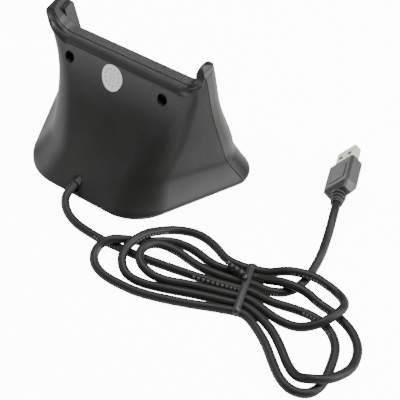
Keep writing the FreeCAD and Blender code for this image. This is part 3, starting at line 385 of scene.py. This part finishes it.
def lamp_material():
    """Clear green lens of the status light."""
    g = Graph("led_lens")
    g.set(Base_Color=g.mix(g.noise(400.0), (0.16, 0.42, 0.20), (0.22, 0.55, 0.26)), Roughness=0.12,
          Transmission_Weight=0.5)
    g.bump(g.noise(900.0), 0.000004, 0.0003)
    return g.material


def tie_material():
    """Plastic-covered ribbon with a fine grain and a soft sheen."""
    g = Graph("tie_black")
    g.set(Base_Color=g.mix(g.noise(600.0), (0.02, 0.02, 0.02), (0.045, 0.045, 0.045)), Roughness=0.34)
    g.bump(g.noise(2200.0, 4.0), 0.00003)
    return g.material


FINISH = {
    "cable_black": cable_material(),
    "satin_black": moulded("satin_black", (0.014, 0.014, 0.0130), 0.40, ribs=wall_ribs),
    "dark_plate": moulded("dark_plate", (0.024, 0.024, 0.024), 0.55),
    "foot_rubber": moulded("foot_rubber", (0.022, 0.022, 0.022), 0.78, COARSE_GRAIN, 0.00002),
    "dark_screw": metal("dark_screw", (0.045, 0.045, 0.047), 0.36),
    "sticker_white": sticker_material(),
    "board_green": board_material(),
    "chip_black": moulded("chip_black", (0.018, 0.018, 0.019), 0.5, MIDDLE_GRAIN, edges=SMALL_EDGE_ROUND),
    "can_aluminium": metal("can_aluminium", (0.70, 0.71, 0.73), 0.32),
    "led_lens": lamp_material(),
    "wire_red": moulded("wire_red", (0.33, 0.03, 0.025), 0.4, COARSE_GRAIN, edges=SMALL_EDGE_ROUND),
    "ribbon_grey": ribbon_material(),
    "ballast_iron": metal("ballast_iron", (0.24, 0.24, 0.25), 0.6),
    "plug_metal": metal("plug_metal", (0.95, 0.88, 0.74), 0.42, metallic=0.8),
    "contact_gold": metal("contact_gold", (0.90, 0.66, 0.26), 0.25),
    "spring_steel": metal("spring_steel", (0.62, 0.62, 0.64), 0.28),
    "tie_black": tie_material(),
    "overmould_grey": moulded("overmould_grey", (0.045, 0.045, 0.044), 0.40, MIDDLE_GRAIN, 0.000012, 0.0003),
}


def finish_cad_nodes():
    """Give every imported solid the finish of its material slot."""
    slots = {part["node"]: part["material_slot"] for part in frame["record"]["subparts"]}
    for name, piece in nodes.items():
        for holder in piece.material_slots:
            holder.link = "OBJECT"
            holder.material = FINISH[slots[name]]


finish_cad_nodes()


# ---- lead ---------------------------------------------------------------------------
# Centre line of the lead in millimetres: out of the cradle, seven times through the tie, to the plug.
ROUTE = [
    (4.5, 32.0, 5.4), (4.5, 38.2, 5.4), (2.6, 44.6, 4.6), (-3.0, 49.4, 3.0), (-11.0, 52.4, 2.2),
    (-21.0, 53.4, 2.2), (-31.0, 53.4, 2.2), (-40.0, 52.6, 2.2), (-51.0, 51.6, 2.2),
    (-62.0, 49.6, 2.2), (-75.0, 47.0, 2.2), (-88.0, 44.2, 2.2), (-100.2, 40.7, 2.2),
    (-107.8, 38.1, 2.2), (-118.0, 38.5, 2.2), (-131.0, 34.8, 2.2), (-141.5, 34.0, 2.2),
    (-150.0, 37.2, 2.2), (-156.5, 43.7, 2.2), (-159.5, 53.2, 2.2), (-161.2, 61.2, 2.2),
    (-161.4, 67.0, 2.2), (-158.8, 72.6, 2.2), (-152.0, 74.9, 2.2), (-144.6, 72.4, 2.2),
    (-138.0, 67.4, 2.2), (-129.0, 59.7, 2.2), (-120.0, 54.5, 2.2), (-112.2, 51.0, 2.2),
    (-104.7, 53.6, 2.2), (-96.0, 57.5, 2.2), (-84.0, 63.0, 2.2), (-65.0, 69.8, 2.2),
    (-54.0, 70.8, 2.2), (-45.5, 71.0, 2.2), (-38.4, 69.4, 2.6), (-33.4, 65.4, 3.8),
    (-32.2, 59.4, 5.6), (-35.0, 53.8, 7.0), (-40.4, 48.8, 5.8), (-46.5, 42.8, 2.2),
    (-54.0, 36.4, 2.2), (-60.0, 33.4, 2.2), (-70.0, 32.4, 2.2), (-83.0, 35.4, 2.2),
    (-97.3, 32.1, 2.2), (-104.8, 29.5, 2.2), (-111.0, 29.0, 4.2), (-118.0, 28.0, 6.8),
    (-129.0, 26.5, 6.8), (-136.0, 26.0, 2.2), (-146.0, 27.0, 2.2), (-157.0, 30.8, 2.2),
    (-165.0, 38.2, 2.2), (-168.2, 49.2, 3.2), (-166.5, 57.7, 5.6), (-163.0, 64.2, 6.8),
    (-157.0, 67.8, 6.8), (-151.0, 68.4, 3.6), (-144.0, 64.6, 2.2), (-136.0, 57.8, 2.2),
    (-126.0, 50.8, 2.2), (-110.7, 46.7, 2.2), (-103.2, 49.3, 2.2), (-88.0, 54.4, 2.2),
    (-71.0, 61.4, 2.2), (-60.0, 64.8, 2.2), (-51.6, 64.2, 2.6), (-45.6, 59.2, 5.2),
    (-44.4, 51.7, 7.4), (-46.6, 41.7, 7.5), (-50.0, 32.8, 4.0), (-56.0, 25.8, 2.2),
    (-66.0, 22.4, 2.2), (-77.0, 24.4, 2.2), (-86.0, 28.8, 2.2), (-95.8, 27.8, 2.2),
    (-103.3, 25.2, 2.2), (-108.0, 23.8, 2.8), (-116.0, 20.4, 6.8), (-127.0, 16.6, 6.8),
    (-134.0, 15.0, 3.6), (-141.0, 15.8, 2.6), (-147.0, 20.2, 4.6), (-149.0, 26.2, 7.2),
    (-147.4, 33.7, 7.2), (-143.0, 40.2, 5.2), (-136.0, 44.6, 2.6), (-125.0, 45.6, 2.2),
    (-109.3, 42.4, 2.2), (-101.7, 45.0, 2.2), (-92.0, 48.1, 2.2), (-80.0, 52.0, 2.2),
    (-71.0, 56.6, 2.6), (-63.2, 58.8, 4.2), (-55.8, 57.4, 6.0), (-51.6, 52.4, 7.0),
    (-51.6, 46.4, 6.8), (-55.4, 41.2, 5.4), (-63.6, 38.6, 3.2), (-73.0, 39.4, 2.2),
    (-81.0, 40.0, 2.2), (-91.0, 38.4, 2.2), (-98.7, 36.4, 2.2), (-106.3, 33.8, 2.2),
    (-112.5, 33.8, 2.2), (-119.0, 30.8, 2.2), (-122.8, 25.4, 2.2), (-124.0, 18.4, 2.2),
    (-123.6, 11.2, 2.2), (-122.4, 1.2, 3.6), (-120.2, -8.4, 8.8),
    (-116.9, -18.1, 12.2), (-113.7, -26.4, 11.5), (-110.8, -33.8, 10.7),
]


def build_lead():
    """The whole lead as one smooth spline."""
    curve = bpy.data.curves.new("lead", "CURVE")
    curve.dimensions = "3D"
    spline = curve.splines.new("NURBS")
    spline.points.add(len(ROUTE) - 1)
    for point, (x, y, z) in zip(spline.points, ROUTE):
        point.co = (x * MM, y * MM, z * MM, 1)
    spline.order_u = 3
    spline.use_endpoint_u = True
    curve.resolution_u = 10
    curve.bevel_depth = LEAD / 2
    curve.bevel_resolution = 6
    curve.use_fill_caps = True
    lead = bpy.data.objects.new("lead", curve)
    bpy.context.collection.objects.link(lead)
    curve.materials.append(FINISH["cable_black"])
    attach(lead, CRADLE)
    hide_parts("usb_lead", "cable_hank", "plug_lead")
    return lead


# ---- twist tie, in millimetres --------------------------------------------------------
TIE_PLACE = (-104.0, 39.4)
TIE_TURN = math.radians(19.0)       # how far the bundle is turned on the floor
TIE_WIDTH = 3.6
TIE_THICK = 0.5
TIE_PROFILE = [(-0.5, 0.0), (-0.46, 0.35), (-0.2, 0.42), (-0.07, 0.85), (0.07, 0.85), (0.2, 0.42),
               (0.46, 0.35), (0.5, 0.0), (0.46, -0.3), (0.0, -0.35), (-0.46, -0.3)]  # widths, thicknesses

BAND_HALF = 15.9          # half the band's reach across the strands
BAND_BOTTOM, BAND_TOP = 0.45, 4.85
BAND_CORNER = 2.1
BAND_CORNER_STEPS = 6
BAND_WAVE, BAND_WAVE_STEP = 0.25, 1.1               # how far the band strays along the bundle, how often

END_LINE = [(0.4, -4.0, 5.2), (2.4, -5.6, 6.4), (4.6, -6.6, 7.1), (7.2, -7.6, 7.2), (9.6, -8.8, 7.0),
            (11.6, -10.4, 6.6)]     # middle of the twisted ends: along, across and up
END_STEPS = 9             # stations from one of its points to the next
END_TWIST = 0.36          # turn from station to station, in radians
END_RADIUS = 0.55         # distance of each end from that line
END_WIDTH, END_TIP_WIDTH = 2.6, 1.6


def at_tie(along, across, z):
    """Point at the tie from millimetres along and across the bundle."""
    c, s = math.cos(TIE_TURN), math.sin(TIE_TURN)
    return Vector(((TIE_PLACE[0] + along * c - across * s) * MM,
                   (TIE_PLACE[1] + along * s + across * c) * MM, z * MM))


def smooth(points, steps):
    """Catmull-Rom line through the points."""
    padded = [points[0]] + points + [points[-1]]
    out = []
    for a, b, c, d in zip(padded, padded[1:], padded[2:], padded[3:]):
        for k in range(steps):
            t = k / steps
            out.append(tuple(0.5 * (2 * q + (r - p) * t + (2 * p - 5 * q + 4 * r - s) * t * t
                                    + (3 * q - p - 3 * r + s) * t ** 3) for p, q, r, s in zip(a, b, c, d)))
    out.append(points[-1])
    return out


def ribbon(name, line, widths, frames):
    """Flat ribbon swept along line; frames gives each station's width direction and outward normal."""
    mesh = bpy.data.meshes.new(name)
    grid = bmesh.new()
    rings = []
    for point, width, (side, out) in zip(line, widths, frames):
        rings.append([grid.verts.new(point + side * (u * width * MM) + out * (v * TIE_THICK * MM))
                      for u, v in TIE_PROFILE])
    for first, second in zip(rings, rings[1:]):
        for k in range(len(TIE_PROFILE)):
            j = (k + 1) % len(TIE_PROFILE)
            grid.faces.new((first[k], first[j], second[j], second[k]))
    grid.faces.new(rings[0][::-1])
    grid.faces.new(rings[-1])
    bmesh.ops.recalc_face_normals(grid, faces=grid.faces)
    grid.to_mesh(mesh)
    grid.free()
    for face in mesh.polygons:
        face.use_smooth = True
    piece = bpy.data.objects.new(name, mesh)
    bpy.context.collection.objects.link(piece)
    mesh.materials.append(FINISH["tie_black"])
    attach(piece, CRADLE)
    return piece


def tie_band():
    """Band pulled round the strands: a rounded rectangle across the bundle."""
    reach = BAND_HALF - BAND_CORNER
    low, high = BAND_BOTTOM + BAND_CORNER, BAND_TOP - BAND_CORNER
    outline = []
    for across, z, start in ((reach, high, 0), (-reach, high, 90), (-reach, low, 180), (reach, low, 270)):
        for step in range(BAND_CORNER_STEPS + 1):
            turn = math.radians(start + 90 / BAND_CORNER_STEPS * step)
            outline.append((across + BAND_CORNER * math.cos(turn), z + BAND_CORNER * math.sin(turn), turn))
    outline.append(outline[0])
    line = [at_tie(BAND_WAVE * math.sin(i * BAND_WAVE_STEP), across, z)
            for i, (across, z, _) in enumerate(outline)]
    along = (at_tie(1, 0, 0) - at_tie(0, 0, 0)).normalized()
    cross = (at_tie(0, 1, 0) - at_tie(0, 0, 0)).normalized()
    frames = [(along, cross * math.cos(turn) + UP * math.sin(turn)) for _, _, turn in outline]
    return ribbon("twist_tie_band", line, [TIE_WIDTH] * len(outline), frames)


def tie_end(name, points, phase):
    """One of the two ends that are twisted round each other."""
    line, frames = [], []
    last = len(points) - 1
    for index, point in enumerate(points):
        ahead = (points[min(index + 1, last)] - points[max(index - 1, 0)]).normalized()
        side = ahead.cross(UP).normalized()
        up = side.cross(ahead)
        turn = phase + index * END_TWIST
        away = side * math.cos(turn) + up * math.sin(turn)
        line.append(point + away * END_RADIUS * MM)
        frames.append((side * -math.sin(turn) + up * math.cos(turn), away))
    return ribbon(name, line, [END_WIDTH] * last + [END_TIP_WIDTH], frames)


def build_tie():
    """The band, with its two ends twisted together on top."""
    band = tie_band()
    points = [at_tie(*p) for p in smooth(END_LINE, END_STEPS)]
    pieces = [band, tie_end("twist_tie_end_1", points, 0.0), tie_end("twist_tie_end_2", points, math.pi)]
    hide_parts("twist_tie")
    return pieces


lead = build_lead()
tie_pieces = build_tie()
